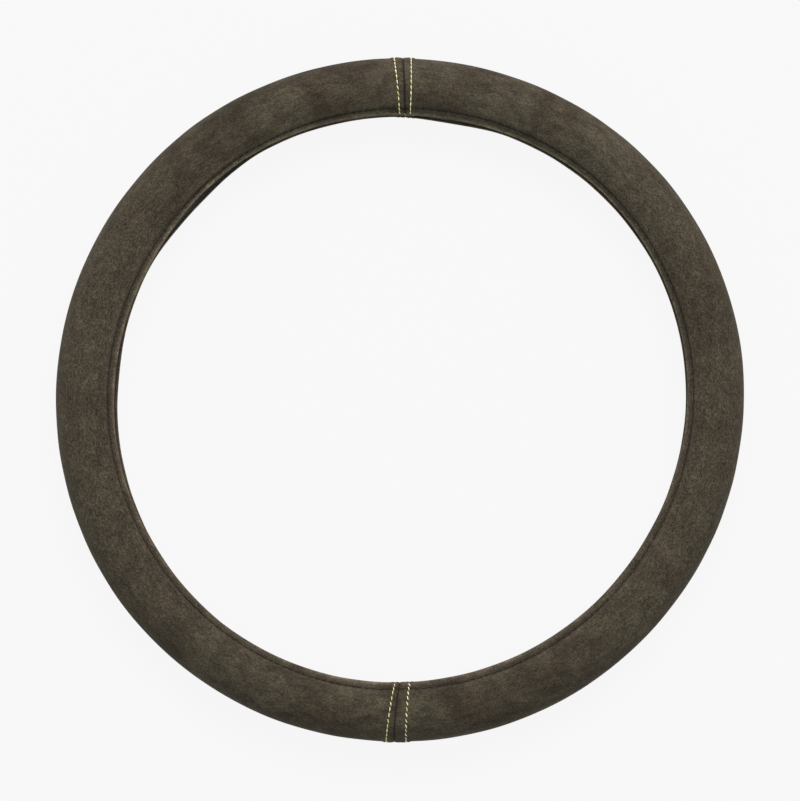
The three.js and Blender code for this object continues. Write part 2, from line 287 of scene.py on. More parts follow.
RUBBER_COLOURS = ((0.027, 0.025, 0.022), (0.050, 0.046, 0.040))
rubber, tree, sockets, where = principled("black_rubber", Roughness=0.7, Specular_IOR_Level=0.35)
dusty = levels(tree, noise(tree, where, scale=70.0, detail=4.0), low=0.4, high=0.68)
feed(tree, sockets["Base Color"], mix_colour(tree, dusty, *RUBBER_COLOURS))
pores = fine_grain(tree, where, 900.0, "Pores")
feed(tree, sockets["Roughness"], levels(tree, pores, 0, 1, to_low=0.62, to_high=0.8))
moulded = fine_grain(tree, where, 1500.0)
feed(tree, sockets["Normal"], bump(tree, moulded, distance=0.00008, strength=0.6))


def rubber_section():
    """The C section's closed outline, from the front lip over the outside to the back lip and back."""
    face = [(tilt, RUBBER_FACE) for tilt in np.linspace(EDGE_TILT, -EDGE_TILT, FACE_STEPS + 1)]
    inner_half = MEAN_HALF + CHANNEL_FACE
    rib_pitch = math.degrees(GRIP_RIB_PITCH / inner_half)
    rib_foot = math.degrees(GRIP_RIB_WIDTH / 2 / inner_half)
    channel = []
    for tilt in np.linspace(-EDGE_TILT, EDGE_TILT, CHANNEL_STEPS + 1):
        rib = min(max(round(tilt / rib_pitch), -(GRIP_RIBS // 2)), GRIP_RIBS // 2)
        away = min(abs(tilt - rib * rib_pitch) / rib_foot, 1)
        channel.append((tilt, CHANNEL_FACE - GRIP_RIB_HEIGHT * (1 + math.cos(math.pi * away)) / 2))
    nose = []
    for step in range(1, NOSE_STEPS):
        way = math.pi * step / NOSE_STEPS
        reach = tilt_of(RUBBER_THICKNESS / 2 * math.sin(way))
        nose.append((EDGE_TILT + reach, RUBBER_FACE - RUBBER_THICKNESS / 2 * (1 - math.cos(way))))
    back_nose = [(-tilt, lift) for tilt, lift in nose]
    return face + back_nose + channel + nose[::-1]


def section_mesh(name, places):
    """A closed outline in its own plane, each point with its share of the lips' waves and sags."""
    tilts, lifts = np.array(places).T
    across, height = section_point(tilts, lifts)
    count = len(tilts)
    mesh = bpy.data.meshes.new(name)
    points = [(x / 1000, -y / 1000, 0) for x, y in zip(across, height)]
    mesh.from_pydata(points, [(i, (i + 1) % count) for i in range(count)], [])
    sags = sag_share(tilts)
    for label, share in (
        ("lip_share", lip_share(tilts)),
        ("front_share", sags * (tilts > 0)),
        ("back_share", sags * (tilts < 0)),
    ):
        mesh.attributes.new(label, "FLOAT", "POINT").data.foreach_set("value", share)
    return mesh


wave_tree, wave_in, wave_out = new_tree(
    "one_wave",
    [
        ("Turn", "INPUT", "Float", 0.0),
        ("Crests", "INPUT", "Float", 2.0),
        ("Size", "INPUT", "Float", 0.001),
        ("Angle", "INPUT", "Float", 0.0),
        ("Height", "OUTPUT", "Float", None),
    ],
)
from_crest = maths(wave_tree, "RADIANS", maths(wave_tree, "SUBTRACT", wave_in["Turn"], wave_in["Angle"]))
crest = maths(wave_tree, "COSINE", maths(wave_tree, "MULTIPLY", from_crest, wave_in["Crests"]))
wave_tree.links.new(maths(wave_tree, "MULTIPLY", crest, wave_in["Size"]), wave_out["Height"])

sag_tree, sag_in, sag_out = new_tree(
    "one_sag",
    [
        ("Turn", "INPUT", "Float", 0.0),
        ("Angle", "INPUT", "Float", 0.0),
        ("Reach", "INPUT", "Float", 13.0),
        ("Inward", "INPUT", "Float", 1.0),
        ("Sag", "OUTPUT", "Float", None),
    ],
)
from_sag = maths(sag_tree, "SUBTRACT", sag_in["Turn"], sag_in["Angle"])
away = maths(sag_tree, "ABSOLUTE", maths(sag_tree, "WRAP", from_sag, 180.0, -180.0))
share = maths(sag_tree, "MINIMUM", maths(sag_tree, "DIVIDE", away, sag_in["Reach"]), 1.0)
wave = maths(sag_tree, "COSINE", maths(sag_tree, "MULTIPLY", share, math.pi))
half_depth = maths(sag_tree, "MULTIPLY", sag_in["Inward"], 0.5)
raised_wave = maths(sag_tree, "ADD", wave, 1.0)
sag_tree.links.new(maths(sag_tree, "MULTIPLY", raised_wave, half_depth), sag_out["Sag"])

ring_tree, ring_in, ring_out = new_tree(
    "swept_ring",
    [
        ("Section", "INPUT", "Geometry", None),
        ("Steps", "INPUT", "Int", 360),
        ("Centre Radius", "INPUT", "Float", 0.175),
        ("Material", "INPUT", "Material", None),
        ("Ring", "OUTPUT", "Geometry", None),
    ],
)
circle = node(
    ring_tree, "GeometryNodeCurvePrimitiveCircle",
    Resolution=ring_in["Steps"], Radius=ring_in["Centre Radius"],
)
outline = node(ring_tree, "GeometryNodeMeshToCurve", Mesh=ring_in["Section"])
swept = node(ring_tree, "GeometryNodeCurveToMesh", Curve=circle, Profile_Curve=outline)
place = ring_tree.nodes.new("ShaderNodeSeparateXYZ")
feed(ring_tree, place.inputs[0], node(ring_tree, "GeometryNodeInputPosition"))
turn = maths(ring_tree, "DEGREES", maths(ring_tree, "ARCTAN2", place.outputs["Y"], place.outputs["X"]))


def all_waves(waves):
    total = 0.0
    for crests, size, angle in waves:
        values = {"Turn": turn, "Crests": float(crests), "Size": size / 1000, "Angle": angle}
        one = add_group(ring_tree, wave_tree, "GeometryNodeGroup", **values)["Height"]
        total = maths(ring_tree, "ADD", one, total)
    return total


def section_share(name):
    return node(ring_tree, "GeometryNodeInputNamedAttribute", settings={"data_type": "FLOAT"}, Name=name)


def all_sags(sags):
    total = 0.0
    for angle, reach, inward in sags:
        values = {"Turn": turn, "Angle": angle, "Reach": reach, "Inward": inward / 1000}
        one = add_group(ring_tree, sag_tree, "GeometryNodeGroup", **values)["Sag"]
        total = maths(ring_tree, "ADD", one, total)
    return total


lip_wave = maths(ring_tree, "MULTIPLY", all_waves(LIP_WAVES), section_share("lip_share"))
outward = maths(ring_tree, "ADD", all_waves(RING_WAVES), lip_wave)
for sags, share in ((FRONT_LIP_SAGS, "front_share"), (BACK_LIP_SAGS, "back_share")):
    sag = maths(ring_tree, "MULTIPLY", all_sags(sags), section_share(share))
    outward = maths(ring_tree, "SUBTRACT", outward, sag)
radial = ring_tree.nodes.new("ShaderNodeCombineXYZ")
feed(ring_tree, radial.inputs["X"], place.outputs["X"])
feed(ring_tree, radial.inputs["Y"], place.outputs["Y"])
unit = node(ring_tree, "ShaderNodeVectorMath", settings={"operation": "NORMALIZE"}, Vector=radial.outputs[0])
shift = ring_tree.nodes.new("ShaderNodeVectorMath")
shift.operation = "SCALE"
feed(ring_tree, shift.inputs[0], unit)
feed(ring_tree, shift.inputs["Scale"], outward)
shaped = node(ring_tree, "GeometryNodeSetPosition", Geometry=swept, Offset=shift.outputs[0])
smooth = node(ring_tree, "GeometryNodeSetShadeSmooth", Geometry=shaped)
whole = node(ring_tree, "GeometryNodeRealizeInstances", Geometry=smooth)
ring_tree.links.new(
    node(ring_tree, "GeometryNodeSetMaterial", Geometry=whole, Material=ring_in["Material"]), ring_out["Ring"]
)

rubber_ring = new_object("moulded_rubber_ring", section_mesh("rubber_section", rubber_section()))
run_tree(rubber_ring, ring_tree, {
    "Steps": RING_STEPS,
    "Centre Radius": CENTRE_RADIUS / 1000,
    "Material": rubber,
})
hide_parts("rubber_ring")
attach(rubber_ring, "root")


# The two suede panels: microfibre suede with a thin foam backing, cut as two long strips and stretched
# over the rubber. At both cross seams each end is turned under, so the suede rises beside the seam and
# falls into a valley between the two folds. Threads pull grooves into it beside the seams and the lips.
SEAM_RAISE = 0.45
SEAM_EDGE_RAISE = 0.15
SEAM_VALLEY_DEPTH = 1.0
SEAM_EDGE_VALLEY_DEPTH = 0.1
SEAM_OUTER_VALLEY_DEPTH = 0.2
SEAM_GAP = 0.06
FOLD_WIDTH = 0.75
FOLD_ROUNDNESS = 1.8
SHOULDER_HEIGHT = 0.16
ALLOWANCE_START = 0.4  # past the row
ALLOWANCE_REACH = 3
PUFF_HEIGHT = 0.1
SEAM_PUCKER_HEIGHT = 0.06
OUTSIDE_REACH = 22  # degrees to either side of the outside
LIP_STITCH_PITCH = 4
LIP_GROOVE_DEPTH = 0.95
BEAD_HEIGHT = 0.42
BEAD_FROM_EDGE = 1.35
BEAD_WIDTH = 1.15
PILLOW_HEIGHT = 0.3
CREASE_DEPTH = 0.1
GATHER_HEIGHT = 0.05
LONG_WAVE_HEIGHT = 0.09
SHORT_WAVE_HEIGHT = 0.05
LEAST_THICKNESS = 0.25
TOPSTITCH_PITCH = 3.25
TOPSTITCH_GROOVE_WIDTH = 0.5
TOPSTITCH_GROOVE_DEPTH = 0.6
SEAM_STATIONS = 30
SEAM_MARGIN = 0.6
PLAIN_COLUMNS = 500
FAR_FROM_SEAM = 100
LIP_ROWS = 27
MIDDLE_ROWS = 62
LINING_ROWS = 26
EDGE_STEPS = 5
# A seam's angle outside and inside, its bow between them, and the distances of the row on each side of it,
# outside and inside, 1 being the anticlockwise side
TOP_SEAM = {"outer": 89.45, "inner": 88.79, "bow": -0.165, 1: (4.8, 2.9), -1: (4.8, 2.9)}
BOTTOM_SEAM = {"outer": 269.12, "inner": 270.12, "bow": -0.15, 1: (6.8, 5.5), -1: (4.4, 2.6)}

STITCHES_BETWEEN_LIPS = round(2 * STITCH_TILT / tilt_of(TOPSTITCH_PITCH))
STITCH_STEP = 2 * STITCH_TILT / STITCHES_BETWEEN_LIPS
LIP_LINE_RADIUS = CENTRE_RADIUS + HALF_WIDTH * math.cos(math.radians(STITCH_TILT))
LIP_STITCHES = round(2 * math.pi * LIP_LINE_RADIUS / LIP_STITCH_PITCH)


def inward_share(tilt):
    """How far round the section a place is from the outside towards the lip, from 0 to 1."""
    return (1 - np.cos(np.radians(tilt))) / (1 - math.cos(math.radians(EDGE_TILT)))


def seam_turn(seam, tilt):
    """The angle of a seam's bowed line at a place on the section."""
    share = inward_share(tilt)
    return seam["outer"] + (seam["inner"] - seam["outer"]) * share + 4 * seam["bow"] * share * (1 - share)


def row_away(seam, way, tilt):
    """From the seam's line to the topstitched row on one side, way being 1 on the anticlockwise side."""
    outer, inner = seam[way]
    return outer + (inner - outer) * inward_share(tilt)


def beside_flat(tilt):
    """0 where the suede is pressed flat by the cover's weight, 1 where it lies free."""
    return np.clip((np.abs(tilt + 90) - REST_HALF_ANGLE) / REST_RAMP, 0, 1)


def on_band(tilt):
    """0 up to the lips' stitch lines, 1 at the lips' edges."""
    return np.clip((np.abs(tilt) - STITCH_TILT) / (EDGE_TILT - STITCH_TILT), 0, 1)


def seam_raise(tilt):
    """The raise of the suede over the allowances, trimmed thin at the lips' edges."""
    return (SEAM_RAISE + (SEAM_EDGE_RAISE - SEAM_RAISE) * on_band(tilt)) * beside_flat(tilt)


def smooth_step(value):
    value = np.clip(value, 0, 1)
    return value * value * (3 - 2 * value)


def dent(distance, width):
    """A soft round bump: 1 in its middle, and nearly 0 two widths away."""
    return np.exp(-((distance / width) ** 2))


def allowance_share(away, row):
    """1 over a seam's allowance, and falling to 0 at its end, past the topstitched row."""
    return 1 - smooth_step((away - row - ALLOWANCE_START) / (ALLOWANCE_REACH - ALLOWANCE_START))


def seam_lift(away, row, tilt):
    """The suede's lift beside a seam: fold, raised allowance, topstitch groove and step down."""
    free = beside_flat(tilt)
    band = on_band(tilt)
    raised = seam_raise(tilt) * allowance_share(away, row)
    fold = np.clip(1 - (away - SEAM_GAP / 2) / (FOLD_WIDTH - SEAM_GAP / 2), 0, 1)
    fall = 1 - (1 - fold**FOLD_ROUNDNESS) ** (1 / FOLD_ROUNDNESS)
    outside = dent(tilt, OUTSIDE_REACH)
    depth = SEAM_VALLEY_DEPTH + (SEAM_EDGE_VALLEY_DEPTH - SEAM_VALLEY_DEPTH) * band
    depth = depth + (SEAM_OUTER_VALLEY_DEPTH - depth) * outside
    shoulder = SHOULDER_HEIGHT * free * dent(away - SEAM_GAP / 2, 1.3)
    valley = fall * (depth + seam_raise(tilt) * (1 - 0.4 * outside)) + shoulder
    phase = 2 * np.pi * (tilt + STITCH_TILT) / STITCH_STEP
    pull = (1 - 0.28 * np.cos(phase)) * (1 - 0.7 * band)
    groove = TOPSTITCH_GROOVE_DEPTH * pull * dent(away - row, TOPSTITCH_GROOVE_WIDTH)
    puff = PUFF_HEIGHT * free * (dent(away - row - 1.5, 0.8) + dent(away - row + 1.4, 0.7))
    pucker = SEAM_PUCKER_HEIGHT * free * np.cos(phase) * dent(np.abs(away - row) - 1.1, 0.7)
    return raised - valley - groove + puff + pucker


def from_lip(turn, tilt):
    """A place's length along the section from its lip's edge, and that of the stitch line there."""
    here = math.radians(MEAN_HALF) * (EDGE_TILT - np.abs(tilt + stitch_drift(turn, tilt)))
    line = LIP_STITCH_INSET - np.where(tilt > 0, bump_height(FRONT_STITCH_DRIFTS, turn), 0)
    return here, line


def lip_lift(turn, tilt):
    """The suede's lift near a lip: the stitched groove, the bead along the edge and the puckers."""
    here, line = from_lip(turn, tilt)
    past = here - line
    angle = np.radians(turn)
    phase = angle * LIP_STITCHES
    pull = 0.86 - 0.14 * np.cos(phase)
    groove = LIP_GROOVE_DEPTH * pull * (0.5 * dent(past, 0.7) + 0.5 * dent(past, 1.7))
    bead = BEAD_HEIGHT * dent(here - BEAD_FROM_EDGE, BEAD_WIDTH)
    pillow = PILLOW_HEIGHT * dent(past - 2.9, 1.4)
    crease_depth = CREASE_DEPTH * (1 + np.sin(7 * angle + 2 * np.sin(3 * angle)))
    second_crease = crease_depth * dent(past - 2.1 - 0.3 * np.sin(11 * angle), 0.5)
    both_sides = dent(past + 1.6, 1.1) + dent(past - 1.7, 1.1)
    gather = GATHER_HEIGHT * np.cos(phase / 2 + 1.3 * np.sin(17 * angle)) * both_sides
    return pillow + bead + gather - groove - second_crease


def waviness(turn, tilt):
    """Slow unevenness of the stretched suede, nowhere more than a fifth of a millimetre."""
    angle, round_section = np.radians(turn), np.radians(tilt)
    long_phase = 9 * angle + 1.1 * np.sin(3 * angle) + 1.7 * np.sin(round_section)
    short_phase = 31 * angle + 2.3 * np.cos(5 * angle) + 2.9 * np.sin(round_section + 0.6)
    waves = LONG_WAVE_HEIGHT * np.sin(long_phase) + SHORT_WAVE_HEIGHT * np.sin(short_phase)
    return waves * beside_flat(tilt)


def suede_lift(turn, tilt, away, row):
    """The suede's whole lift at a place: away is its distance from the seam, and row its row's distance."""
    lift = seam_lift(away, row, tilt) + lip_lift(turn, tilt) + waviness(turn, tilt)
    lift = np.where(beside_flat(tilt) > 0, lift, np.minimum(lift, 0))
    return np.maximum(lift, -SUEDE_THICKNESS + LEAST_THICKNESS)


# For each place round the ring: its angle, its reach to either side, and how much paler or darker the suede
# is painted there
# The lips' pale edges, partly worn nap and partly painted highlight, are paler at some of these places and
# less pale where the size is below 0.
WEAR_AND_HIGHLIGHT_PLACES = [(60, 40, 0.8), (140, 25, 0.4), (230, 20, -0.7), (285, 16, 0.3), (325, 32, -0.6)]
# Broad darker places on the front, beside the front lip's stitch line.
DARKER_PLACES = [(48, 30, 0.26), (85, 12, 0.1), (228, 24, 0.12)]
DARKER_TILT = 125
DARKER_REACH = 50
# The pillow beside each lip's groove gets a painted highlight, and a second band 3.2 mm from the lips' edges
# is paler, partly worn nap and partly painted highlight.
PILLOW_HIGHLIGHT = 0.14
SECOND_BEAD_WEAR_AND_HIGHLIGHT = 0.16


def at_places(places, turn):
    """How much all of the places together give at an angle round the ring."""
    return sum(size * dent((turn - angle + 180) % 360 - 180, reach) for angle, reach, size in places)


def suede_shade(turn, tilt, away):
    """The suede's wear and shade at a place, away being its distance from the seam.

    It is above 0 where the suede is painted paler over the lips' edges, partly worn nap and partly painted
    highlight, and on the pillows beside the lips' grooves, as painted highlight. It is below 0 for painted
    shade down in the lips' grooves and the seams' valleys, and at darker places on the front beside the
    stitch line.
    """
    here, line = from_lip(turn, tilt)
    # Paler over the lips' edges, partly worn nap and partly painted highlight, and a painted highlight on the
    # pillow beside each groove.
    worn_and_lit = dent(here - BEAD_FROM_EDGE, BEAD_WIDTH) + SECOND_BEAD_WEAR_AND_HIGHLIGHT * dent(here - 3.2, 1.2)
    worn_and_lit = worn_and_lit * (1 + at_places(WEAR_AND_HIGHLIGHT_PLACES, turn)) + PILLOW_HIGHLIGHT * dent(here - line - 2.8, 1.3)
    height = np.sin(np.radians(turn))
    # Painted shade in the lips' grooves, weaker towards the top of the ring.
    groove = dent(here - line, 1.5) * (1 - 0.65 * np.clip(height, 0, 1))
    # Darker at the listed places on the front, beside the stitch line.
    streaked = at_places(DARKER_PLACES, turn) * dent(tilt - DARKER_TILT, DARKER_REACH)
    # Painted shade in the seams' valleys, stronger at the top seam than at the bottom one, and fading out on
    # the ring's outside.
    valley = (1.15 + 0.65 * height) * dent(away, 0.9) * (1 - dent(tilt, OUTSIDE_REACH))
    return worn_and_lit - (groove + streaked + valley)


def face_tilts():
    """Rows round the section, closer together from beside the stitched grooves to the lips' edges."""
    edge = EDGE_TILT - tilt_of(SUEDE_THICKNESS / 2)
    fine = STITCH_TILT - tilt_of(3)
    lip_rows = np.linspace(fine, edge, LIP_ROWS)
    middle_rows = np.linspace(-fine, fine, MIDDLE_ROWS + 2)[1:-1]
    return np.concatenate([-lip_rows[::-1], middle_rows, lip_rows])


def panel_stations(seam_from, offset, seam_to, tilt):
    """One row of a panel: its turns, and its distance to and row distance of the seam it is near."""
    steps = (np.arange(SEAM_STATIONS) / (SEAM_STATIONS - 1))[None, :]
    tilt = tilt[:, None]
    ends = []
    for seam, way in ((seam_from, 1), (seam_to, -1)):
        row = row_away(seam, way, tilt)
        far = row + ALLOWANCE_REACH + SEAM_MARGIN
        near = SEAM_GAP / 2
        ends.append((near + (far - near) * steps**1.25, row + 0 * steps))
    start = seam_turn(seam_from, tilt) + offset + turn_of(ends[0][0], tilt)
    end = seam_turn(seam_to, tilt) - turn_of(ends[1][0], tilt)
    plain = np.linspace(0, 1, PLAIN_COLUMNS + 2)[None, 1:-1]
    between = start[:, -1:] + (end[:, -1:] - start[:, -1:]) * plain
    turns = np.concatenate([start, between, end[:, ::-1]], axis=1)
    apart = FAR_FROM_SEAM + 0 * between
    away = np.concatenate([ends[0][0], apart, ends[1][0][:, ::-1]], axis=1)
    row = np.concatenate([ends[0][1], 0 * between, ends[1][1][:, ::-1]], axis=1)
    return turns, away, row


def suede_panel(name, seam_from, offset, seam_to):
    """The panel as one closed shell: face, front edge, lining, back edge, and its two folded ends."""
    tilts = face_tilts()
    turns, away, row = panel_stations(seam_from, offset, seam_to, tilts)
    rows = tilts[:, None] + 0 * turns
    lift = suede_lift(turns, rows, away, row)
    grids = [tube_point(turns, rows, lift)]
    shades = [suede_shade(turns, rows, away)]
    half = SUEDE_THICKNESS / 2
    lining = np.linspace(tilts[-1], tilts[0], LINING_ROWS)
    for side in (1, -1):
        ways = np.pi * np.arange(1, EDGE_STEPS + 1) / (EDGE_STEPS + 1)
        edge = side * (tilts[-1] + tilt_of(half * 1.25) * np.sin(ways))
        rim_lift = -half + half * np.cos(ways)
        if side < 0:
            edge, rim_lift = edge[::-1], rim_lift[::-1]
        rim_turns = panel_stations(seam_from, offset, seam_to, edge)[0]
        last = -1 if side > 0 else 0
        share = (rim_lift[:, None] + SUEDE_THICKNESS) / SUEDE_THICKNESS
        grids.append(tube_point(rim_turns, edge[:, None], rim_lift[:, None] + share * lift[last][None, :]))
        shades.append(share * shades[0][last][None, :])
        if side > 0:
            lining_turns = panel_stations(seam_from, offset, seam_to, lining)[0]
            grids.append(tube_point(lining_turns, lining[:, None], -SUEDE_THICKNESS))
            shades.append(0 * lining_turns)
    points = np.concatenate(grids)
    loops, columns = points.shape[:2]
    index = np.arange(loops * columns).reshape(loops, columns)
    following = np.roll(index, -1, axis=0)
    quads = np.stack([index[:, :-1], index[:, 1:], following[:, 1:], following[:, :-1]], axis=-1)
    faces = quads.reshape(-1, 4).tolist()
    outer = list(range(len(tilts)))
    inner = list(range(loops - EDGE_STEPS - 1, len(tilts) + EDGE_STEPS - 1, -1))
    front_rim = list(range(len(tilts), len(tilts) + EDGE_STEPS))
    back_rim = list(range(loops - EDGE_STEPS, loops))[::-1]
    for column, first_end in ((0, True), (columns - 1, False)):
        strip = zipped(outer, inner, tilts, lining[::-1])
        strip += fan(outer[-1], front_rim, inner[-1])
        strip += fan(inner[0], back_rim[::-1], outer[0])
        for a, b, c in strip:
            corners = [int(index[a, column]), int(index[b, column]), int(index[c, column])]
            faces.append(corners if first_end else corners[::-1])
    mesh = bpy.data.meshes.new(name)
    mesh.from_pydata(points.reshape(-1, 3).tolist(), [], faces)
    mesh.polygons.foreach_set("use_smooth", [True] * len(mesh.polygons))
    shade = mesh.attributes.new("wear_and_painted_light", "FLOAT", "POINT")
    shade.data.foreach_set("value", np.concatenate(shades).astype(np.float32).ravel())
    lay_out_nap(mesh, turns, tilts, loops)
    return new_object(name, mesh)


def zipped(outer, inner, outer_at, inner_at):
    """Triangles between two lines of points that run side by side."""
    a, b, found = 0, 0, []
    while a < len(outer) - 1 or b < len(inner) - 1:
        next_outer = outer_at[a + 1] if a < len(outer) - 1 else math.inf
        next_inner = inner_at[b + 1] if b < len(inner) - 1 else math.inf
        if next_outer <= next_inner:
            found.append((outer[a], outer[a + 1], inner[b]))
            a += 1
        else:
            found.append((outer[a], inner[b + 1], inner[b]))
            b += 1
    return found


def fan(first, middle, last):
    """Triangles that close a short line of points from its first one."""
    line = [first, *middle, last]
    return [(line[0], line[i], line[i + 1]) for i in range(1, len(line) - 1)]


def lay_out_nap(mesh, turns, tilts, loops):
    """A flat layout of the panel in metres, for marks that follow the suede along and across it."""
    along = np.radians(turns[0]) * CENTRE_RADIUS / 1000
    face = np.radians(tilts) * MEAN_HALF / 1000
    rest = np.linspace(face[-1], face[-1] + 0.1, loops - len(tilts) + 1)[1:]
    across = np.concatenate([face, rest])
    flat = np.stack(np.broadcast_arrays(along[None, :], across[:, None]), axis=-1).reshape(-1, 2)
    layer = mesh.uv_layers.new(name="nap")
    corners = np.empty(len(mesh.loops), dtype=np.int32)
    mesh.loops.foreach_get("vertex_index", corners)
    layer.data.foreach_set("uv", flat[corners].astype(np.float32).ravel())


SUEDE_BROWN = (0.0570, 0.0436, 0.0312)
SUEDE_GREEN = (0.0405, 0.0374, 0.0256)
MARKS = [  # scale, strength at the ring's sides and at its top and bottom, whether brushed along the ring
    (26.0, 0.14, 0.34, False),
    (95.0, 0.15, 0.2, True),
    (230.0, 0.12, 0.12, False),
    (520.0, 0.33, 0.22, True),
    (1250.0, 0.44, 0.36, False),
]
# How much paler the lips' edges are painted, partly worn nap and partly painted highlight, and how much
# darker the painted shade and the darker places are.
PALE_WEAR_AND_HIGHLIGHT = 1.5
PAINTED_SHADE_AND_DARKENING = 0.3
SIDES_END = 0.09  # metres above and below the ring's middle
ENDS_START = 0.165
suede, tree, sockets, where = principled(
    "brown_grey_suede", Roughness=0.95, Specular_IOR_Level=0.1,
    Sheen_Weight=0.08, Sheen_Roughness=0.6, Sheen_Tint=(0.62, 0.56, 0.44, 1),
)
layout = tree.nodes.new("ShaderNodeUVMap")
layout.uv_map = "nap"
stretched = node(tree, "ShaderNodeMapping", Vector=layout.outputs[0], Scale=(1.0, 2.2, 1.0))
place = tree.nodes.new("ShaderNodeSeparateXYZ")
feed(tree, place.inputs[0], where)
near_ends = levels(tree, maths(tree, "ABSOLUTE", place.outputs["Y"]), SIDES_END, ENDS_START)
clouds = noise(tree, where, scale=26.0, detail=1.5, distortion=0.6)
patches = levels(tree, clouds, low=0.3, high=0.7, to_low=-1.0)
spread = maths(tree, "MULTIPLY_ADD", near_ends, 0.2, 0.1)
usual = maths(tree, "MULTIPLY_ADD", near_ends, 0.05, 0.15)
greenish = maths(tree, "MULTIPLY_ADD", patches, spread, usual)
colour = mix_colour(tree, greenish, SUEDE_BROWN, SUEDE_GREEN)
shade = 1.0
for scale, at_sides, at_ends, streaked in MARKS:
    spots = noise(tree, stretched if streaked else where, scale, roughness=0.55, distortion=0.6)
    marks = levels(tree, spots, low=0.3, high=0.7, to_low=-1.0)
    strength = maths(tree, "MULTIPLY_ADD", near_ends, at_ends - at_sides, at_sides)
    shade = maths(tree, "MULTIPLY", shade, maths(tree, "MULTIPLY_ADD", marks, strength, 1.0))
# Over the lips' edges the suede is painted paler in patches, partly worn nap and partly painted highlight. In
# the lips' grooves and the seams' valleys it is painted darker as painted shade, and also at the darker
# places.
wear_and_painted_light = tree.nodes.new("ShaderNodeAttribute")
wear_and_painted_light.attribute_name = "wear_and_painted_light"
paling_noise = noise(tree, where, scale=110.0, detail=4.0, roughness=0.65)
patchy_paling = levels(tree, paling_noise, low=0.32, high=0.66, to_low=0.4)
worn_and_lit = maths(tree, "MULTIPLY", maths(tree, "MAXIMUM", wear_and_painted_light.outputs["Fac"], 0.0), patchy_paling)
paler = maths(tree, "MULTIPLY_ADD", worn_and_lit, PALE_WEAR_AND_HIGHLIGHT, 1.0)
painted_shade_and_dark = maths(tree, "MINIMUM", wear_and_painted_light.outputs["Fac"], 0.0)
darker = maths(tree, "MULTIPLY_ADD", painted_shade_and_dark, PAINTED_SHADE_AND_DARKENING, 1.0)
shade = maths(tree, "MULTIPLY", shade, maths(tree, "MULTIPLY", paler, darker))
feed(tree, sockets["Base Color"], mix_colour(tree, 1.0, colour, shade, "MULTIPLY"))
nap = maths(tree, "ADD", fine_grain(tree, where, 620.0), fine_grain(tree, where, 1500.0))
feed(tree, sockets["Normal"], bump(tree, nap, distance=0.00028, strength=0.6))

right_panel = suede_panel("right_suede", BOTTOM_SEAM, -360, TOP_SEAM)
left_panel = suede_panel("left_suede", TOP_SEAM, 0, BOTTOM_SEAM)
for panel, cad_node in ((right_panel, "right_suede_panel"), (left_panel, "left_suede_panel")):
    panel.data.materials.append(suede)
    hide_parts(cad_node)
    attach(panel, "root")


# The lip stitching: one line of dark thread round each lip, 6.4 mm from its edge, and nearer to the front
# one in places. It sews the suede to the rubber. Each stitch lies in the groove that it pulls into the
# suede and dives at both ends.
LIP_THREAD_RADIUS = 0.22
LIP_THREAD_LIFT = -0.5
LIP_STITCH_LENGTH = 3.7
LIP_STITCH_DIVE = 0.1

stitch_tree, stitch_in, stitch_out = new_tree(
    "sewn_row",
    [
        ("Places", "INPUT", "Geometry", None),
        ("Stitch Length", "INPUT", "Float", 0.003),
        ("Thread Radius", "INPUT", "Float", 0.0003),
        ("Dive", "INPUT", "Float", 0.0004),
        ("Segments", "INPUT", "Int", 8),
        ("Round Points", "INPUT", "Int", 9),
        ("Plies", "INPUT", "Float", 3.0),
        ("Ply Depth", "INPUT", "Float", 0.14),
        ("Twist", "INPUT", "Float", 5.0),
        ("Taper", "INPUT", "Float", 0.5),
        ("Slant", "INPUT", "Float", 0.0),
        ("Unevenness", "INPUT", "Float", 0.1),
        ("Seed", "INPUT", "Int", 1),
        ("Material", "INPUT", "Material", None),
        ("Row", "OUTPUT", "Geometry", None),
    ],
)
half_length = maths(stitch_tree, "MULTIPLY", stitch_in["Stitch Length"], 0.5)
sunk = maths(stitch_tree, "MULTIPLY", stitch_in["Dive"], -1.0)


def point_node(tree, x, z):
    made = tree.nodes.new("ShaderNodeCombineXYZ")
    feed(tree, made.inputs["X"], x)
    feed(tree, made.inputs["Z"], z)
    return made.outputs[0]


arch = node(
    stitch_tree, "GeometryNodeCurveQuadraticBezier",
    Resolution=stitch_in["Segments"],
    Start=point_node(stitch_tree, maths(stitch_tree, "MULTIPLY", half_length, -1.0), sunk),
    Middle=point_node(stitch_tree, 0.0, stitch_in["Dive"]),
    End=point_node(stitch_tree, half_length, sunk),
)
along = node(stitch_tree, "GeometryNodeSplineParameter", out="Factor")
twisting = maths(stitch_tree, "MULTIPLY", along, stitch_in["Twist"])
arch = node(stitch_tree, "GeometryNodeSetCurveTilt", Curve=arch, Tilt=twisting)
loop = node(
    stitch_tree, "GeometryNodeCurvePrimitiveCircle",
    Resolution=stitch_in["Round Points"], Radius=stitch_in["Thread Radius"],
)
around = stitch_tree.nodes.new("ShaderNodeSeparateXYZ")
feed(stitch_tree, around.inputs[0], node(stitch_tree, "GeometryNodeInputPosition"))
way = maths(stitch_tree, "ARCTAN2", around.outputs["Y"], around.outputs["X"])
lobes = maths(stitch_tree, "COSINE", maths(stitch_tree, "MULTIPLY", way, stitch_in["Plies"]))
swell = maths(stitch_tree, "ADD", maths(stitch_tree, "MULTIPLY", lobes, stitch_in["Ply Depth"]), 1.0)
scaled = stitch_tree.nodes.new("ShaderNodeVectorMath")
scaled.operation = "SCALE"
feed(stitch_tree, scaled.inputs[0], node(stitch_tree, "GeometryNodeInputPosition"))
feed(stitch_tree, scaled.inputs["Scale"], swell)
plied = node(stitch_tree, "GeometryNodeSetPosition", Geometry=loop, Position=scaled.outputs[0])
